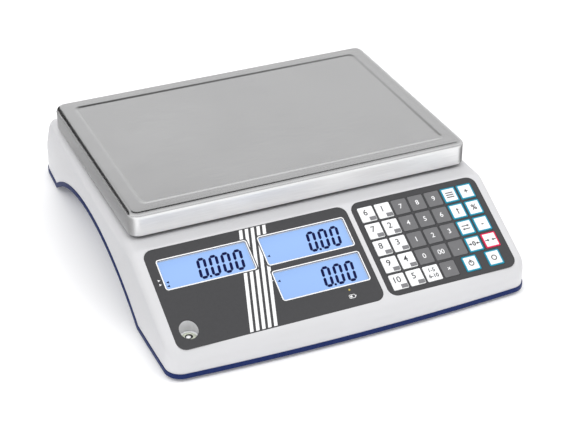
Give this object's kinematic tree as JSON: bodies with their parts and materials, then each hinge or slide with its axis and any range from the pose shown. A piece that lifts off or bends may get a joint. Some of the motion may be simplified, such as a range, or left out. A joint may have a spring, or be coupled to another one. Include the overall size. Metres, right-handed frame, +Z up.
{
  "type": "price computing bench scale",
  "caption": "Retail bench scale with a lift-off stainless pan on a load cell, a sloping console with displays and travelling keys, hand-grip arches and levelling feet.",
  "frame": {"origin": "on the table, below the middle of the base", "axes": "+Z up, -Y towards the person at the console, +X to that person's right"},
  "size_m": [0.314, 0.372, 0.092],
  "materials": {
    "base_plastic": "moulded satin",
    "housing_plastic": "moulded fine texture",
    "stainless": "satin brushed",
    "cast_alloy": "as cast",
    "cell_alloy": "machined, anodised",
    "fastener": "zinc plated",
    "plate_steel": "zinc plated sheet",
    "rubber": "moulded",
    "overlay_film": "printed film",
    "display": "backlit display glass",
    "board": "solder mask",
    "vial": "clear vial with tinted fluid",
    "battery_case": "moulded",
    "socket_plastic": "moulded",
    "key_white": "printed key top",
    "key_grey": "printed key top"
  },
  "bodies": {
    "base": {"base_shell": "base_plastic", "top_housing": "housing_plastic", "load_cell": "cell_alloy", "load_cell_bolts": "fastener", "chassis_plate": "plate_steel", "display_overlay": "overlay_film", "keypad_overlay": "overlay_film", "lcd_panels": "display", "keypad_board": "board", "main_board": "board", "level_vial": "vial", "battery": "battery_case", "housing_screws": "fastener", "power_socket": "socket_plastic"},
    "carrier": {"pan_support": "cast_alloy", "pan_pads": "rubber", "carrier_bolts": "fastener"},
    "pan": {"weighing_pan": "stainless"},
    "foot_pad_front_left": {"foot_pad_front_left": "rubber"},
    "foot_screw_front_left": {"foot_screw_front_left": "fastener"},
    "foot_pad_front_right": {"foot_pad_front_right": "rubber"},
    "foot_screw_front_right": {"foot_screw_front_right": "fastener"},
    "foot_pad_back_left": {"foot_pad_back_left": "rubber"},
    "foot_screw_back_left": {"foot_screw_back_left": "fastener"},
    "foot_pad_back_right": {"foot_pad_back_right": "rubber"},
    "foot_screw_back_right": {"foot_screw_back_right": "fastener"},
    "key_r1_c1": {"key_r1_c1": "key_white"},
    "key_r1_c2": {"key_r1_c2": "key_white"},
    "key_r1_c3": {"key_r1_c3": "key_grey"},
    "key_r1_c4": {"key_r1_c4": "key_grey"},
    "key_r1_c5": {"key_r1_c5": "key_grey"},
    "key_r1_c6": {"key_r1_c6": "key_white"},
    "key_r1_c7": {"key_r1_c7": "key_white"},
    "key_r2_c1": {"key_r2_c1": "key_white"},
    "key_r2_c2": {"key_r2_c2": "key_white"},
    "key_r2_c3": {"key_r2_c3": "key_grey"},
    "key_r2_c4": {"key_r2_c4": "key_grey"},
    "key_r2_c5": {"key_r2_c5": "key_grey"},
    "key_r2_c6": {"key_r2_c6": "key_white"},
    "key_r2_c7": {"key_r2_c7": "key_white"},
    "key_r3_c1": {"key_r3_c1": "key_white"},
    "key_r3_c2": {"key_r3_c2": "key_white"},
    "key_r3_c3": {"key_r3_c3": "key_grey"},
    "key_r3_c4": {"key_r3_c4": "key_grey"},
    "key_r3_c5": {"key_r3_c5": "key_grey"},
    "key_r3_c6": {"key_r3_c6": "key_white"},
    "key_r3_c7": {"key_r3_c7": "key_white"},
    "key_r4_c1": {"key_r4_c1": "key_white"},
    "key_r4_c2": {"key_r4_c2": "key_white"},
    "key_r4_c3": {"key_r4_c3": "key_grey"},
    "key_r4_c4": {"key_r4_c4": "key_grey"},
    "key_r4_c5": {"key_r4_c5": "key_grey"},
    "key_r4_c6": {"key_r4_c6": "key_white"},
    "key_r4_c7": {"key_r4_c7": "key_white"},
    "key_r5_c1": {"key_r5_c1": "key_white"},
    "key_r5_c2": {"key_r5_c2": "key_white"},
    "key_r5_c3": {"key_r5_c3": "key_white"},
    "key_r5_c4": {"key_r5_c4": "key_grey"},
    "key_on": {"key_on": "key_white"},
    "key_off": {"key_off": "key_white"}
  },
  "joints": [
    {"name": "load_deflection", "type": "slide", "parent": "base", "child": "carrier", "axis": [0, 0, -1], "range_m": [0, 0.0005], "stiffness_N_per_m": 294000, "deforming": ["load_cell"]},
    {"name": "pan_lift", "type": "slide", "parent": "carrier", "child": "pan", "axis": [0, 0, 1], "range_m": [0, 0.06]},
    {"name": "foot_pad_front_left_extend", "type": "slide", "parent": "base", "child": "foot_pad_front_left", "axis": [0, 0, -1], "range_m": [0, 0.008]},
    {"name": "foot_screw_front_left_turn", "type": "hinge", "parent": "foot_pad_front_left", "child": "foot_screw_front_left", "pos_m": [-0.112, -0.158, 0.006], "axis": [0, 0, -1], "range_deg": [0, 2310]},
    {"name": "foot_pad_front_right_extend", "type": "slide", "parent": "base", "child": "foot_pad_front_right", "axis": [0, 0, -1], "range_m": [0, 0.008]},
    {"name": "foot_screw_front_right_turn", "type": "hinge", "parent": "foot_pad_front_right", "child": "foot_screw_front_right", "pos_m": [0.112, -0.158, 0.006], "axis": [0, 0, -1], "range_deg": [0, 2310]},
    {"name": "foot_pad_back_left_extend", "type": "slide", "parent": "base", "child": "foot_pad_back_left", "axis": [0, 0, -1], "range_m": [0, 0.008]},
    {"name": "foot_screw_back_left_turn", "type": "hinge", "parent": "foot_pad_back_left", "child": "foot_screw_back_left", "pos_m": [-0.112, 0.156, 0.006], "axis": [0, 0, -1], "range_deg": [0, 2310]},
    {"name": "foot_pad_back_right_extend", "type": "slide", "parent": "base", "child": "foot_pad_back_right", "axis": [0, 0, -1], "range_m": [0, 0.008]},
    {"name": "foot_screw_back_right_turn", "type": "hinge", "parent": "foot_pad_back_right", "child": "foot_screw_back_right", "pos_m": [0.112, 0.156, 0.006], "axis": [0, 0, -1], "range_deg": [0, 2310]},
    {"name": "key_r1_c1_press", "type": "slide", "parent": "base", "child": "key_r1_c1", "axis": [0, 0.4587, -0.8886], "range_m": [0, 0.0004], "stiffness_N_per_m": 6000},
    {"name": "key_r1_c2_press", "type": "slide", "parent": "base", "child": "key_r1_c2", "axis": [0, 0.4587, -0.8886], "range_m": [0, 0.0004], "stiffness_N_per_m": 6000},
    {"name": "key_r1_c3_press", "type": "slide", "parent": "base", "child": "key_r1_c3", "axis": [0, 0.4587, -0.8886], "range_m": [0, 0.0004], "stiffness_N_per_m": 6000},
    {"name": "key_r1_c4_press", "type": "slide", "parent": "base", "child": "key_r1_c4", "axis": [0, 0.4587, -0.8886], "range_m": [0, 0.0004], "stiffness_N_per_m": 6000},
    {"name": "key_r1_c5_press", "type": "slide", "parent": "base", "child": "key_r1_c5", "axis": [0, 0.4587, -0.8886], "range_m": [0, 0.0004], "stiffness_N_per_m": 6000},
    {"name": "key_r1_c6_press", "type": "slide", "parent": "base", "child": "key_r1_c6", "axis": [0, 0.4587, -0.8886], "range_m": [0, 0.0004], "stiffness_N_per_m": 6000},
    {"name": "key_r1_c7_press", "type": "slide", "parent": "base", "child": "key_r1_c7", "axis": [0, 0.4587, -0.8886], "range_m": [0, 0.0004], "stiffness_N_per_m": 6000},
    {"name": "key_r2_c1_press", "type": "slide", "parent": "base", "child": "key_r2_c1", "axis": [0, 0.4587, -0.8886], "range_m": [0, 0.0004], "stiffness_N_per_m": 6000},
    {"name": "key_r2_c2_press", "type": "slide", "parent": "base", "child": "key_r2_c2", "axis": [0, 0.4587, -0.8886], "range_m": [0, 0.0004], "stiffness_N_per_m": 6000},
    {"name": "key_r2_c3_press", "type": "slide", "parent": "base", "child": "key_r2_c3", "axis": [0, 0.4587, -0.8886], "range_m": [0, 0.0004], "stiffness_N_per_m": 6000},
    {"name": "key_r2_c4_press", "type": "slide", "parent": "base", "child": "key_r2_c4", "axis": [0, 0.4587, -0.8886], "range_m": [0, 0.0004], "stiffness_N_per_m": 6000},
    {"name": "key_r2_c5_press", "type": "slide", "parent": "base", "child": "key_r2_c5", "axis": [0, 0.4587, -0.8886], "range_m": [0, 0.0004], "stiffness_N_per_m": 6000},
    {"name": "key_r2_c6_press", "type": "slide", "parent": "base", "child": "key_r2_c6", "axis": [0, 0.4587, -0.8886], "range_m": [0, 0.0004], "stiffness_N_per_m": 6000},
    {"name": "key_r2_c7_press", "type": "slide", "parent": "base", "child": "key_r2_c7", "axis": [0, 0.4587, -0.8886], "range_m": [0, 0.0004], "stiffness_N_per_m": 6000},
    {"name": "key_r3_c1_press", "type": "slide", "parent": "base", "child": "key_r3_c1", "axis": [0, 0.4587, -0.8886], "range_m": [0, 0.0004], "stiffness_N_per_m": 6000},
    {"name": "key_r3_c2_press", "type": "slide", "parent": "base", "child": "key_r3_c2", "axis": [0, 0.4587, -0.8886], "range_m": [0, 0.0004], "stiffness_N_per_m": 6000},
    {"name": "key_r3_c3_press", "type": "slide", "parent": "base", "child": "key_r3_c3", "axis": [0, 0.4587, -0.8886], "range_m": [0, 0.0004], "stiffness_N_per_m": 6000},
    {"name": "key_r3_c4_press", "type": "slide", "parent": "base", "child": "key_r3_c4", "axis": [0, 0.4587, -0.8886], "range_m": [0, 0.0004], "stiffness_N_per_m": 6000},
    {"name": "key_r3_c5_press", "type": "slide", "parent": "base", "child": "key_r3_c5", "axis": [0, 0.4587, -0.8886], "range_m": [0, 0.0004], "stiffness_N_per_m": 6000},
    {"name": "key_r3_c6_press", "type": "slide", "parent": "base", "child": "key_r3_c6", "axis": [0, 0.4587, -0.8886], "range_m": [0, 0.0004], "stiffness_N_per_m": 6000},
    {"name": "key_r3_c7_press", "type": "slide", "parent": "base", "child": "key_r3_c7", "axis": [0, 0.4587, -0.8886], "range_m": [0, 0.0004], "stiffness_N_per_m": 6000},
    {"name": "key_r4_c1_press", "type": "slide", "parent": "base", "child": "key_r4_c1", "axis": [0, 0.4587, -0.8886], "range_m": [0, 0.0004], "stiffness_N_per_m": 6000},
    {"name": "key_r4_c2_press", "type": "slide", "parent": "base", "child": "key_r4_c2", "axis": [0, 0.4587, -0.8886], "range_m": [0, 0.0004], "stiffness_N_per_m": 6000},
    {"name": "key_r4_c3_press", "type": "slide", "parent": "base", "child": "key_r4_c3", "axis": [0, 0.4587, -0.8886], "range_m": [0, 0.0004], "stiffness_N_per_m": 6000},
    {"name": "key_r4_c4_press", "type": "slide", "parent": "base", "child": "key_r4_c4", "axis": [0, 0.4587, -0.8886], "range_m": [0, 0.0004], "stiffness_N_per_m": 6000},
    {"name": "key_r4_c5_press", "type": "slide", "parent": "base", "child": "key_r4_c5", "axis": [0, 0.4587, -0.8886], "range_m": [0, 0.0004], "stiffness_N_per_m": 6000},
    {"name": "key_r4_c6_press", "type": "slide", "parent": "base", "child": "key_r4_c6", "axis": [0, 0.4587, -0.8886], "range_m": [0, 0.0004], "stiffness_N_per_m": 6000},
    {"name": "key_r4_c7_press", "type": "slide", "parent": "base", "child": "key_r4_c7", "axis": [0, 0.4587, -0.8886], "range_m": [0, 0.0004], "stiffness_N_per_m": 6000},
    {"name": "key_r5_c1_press", "type": "slide", "parent": "base", "child": "key_r5_c1", "axis": [0, 0.4587, -0.8886], "range_m": [0, 0.0004], "stiffness_N_per_m": 6000},
    {"name": "key_r5_c2_press", "type": "slide", "parent": "base", "child": "key_r5_c2", "axis": [0, 0.4587, -0.8886], "range_m": [0, 0.0004], "stiffness_N_per_m": 6000},
    {"name": "key_r5_c3_press", "type": "slide", "parent": "base", "child": "key_r5_c3", "axis": [0, 0.4587, -0.8886], "range_m": [0, 0.0004], "stiffness_N_per_m": 6000},
    {"name": "key_r5_c4_press", "type": "slide", "parent": "base", "child": "key_r5_c4", "axis": [0, 0.4587, -0.8886], "range_m": [0, 0.0004], "stiffness_N_per_m": 6000},
    {"name": "key_on_press", "type": "slide", "parent": "base", "child": "key_on", "axis": [0, 0.4587, -0.8886], "range_m": [0, 0.0004], "stiffness_N_per_m": 6000},
    {"name": "key_off_press", "type": "slide", "parent": "base", "child": "key_off", "axis": [0, 0.4587, -0.8886], "range_m": [0, 0.0004], "stiffness_N_per_m": 6000}
  ],
  "couplings": [
    {"joint": "foot_screw_front_left_turn", "follows": "foot_pad_front_left_extend", "rad_per_m": 5026.5},
    {"joint": "foot_screw_front_right_turn", "follows": "foot_pad_front_right_extend", "rad_per_m": 5026.5},
    {"joint": "foot_screw_back_left_turn", "follows": "foot_pad_back_left_extend", "rad_per_m": 5026.5},
    {"joint": "foot_screw_back_right_turn", "follows": "foot_pad_back_right_extend", "rad_per_m": 5026.5}
  ]
}
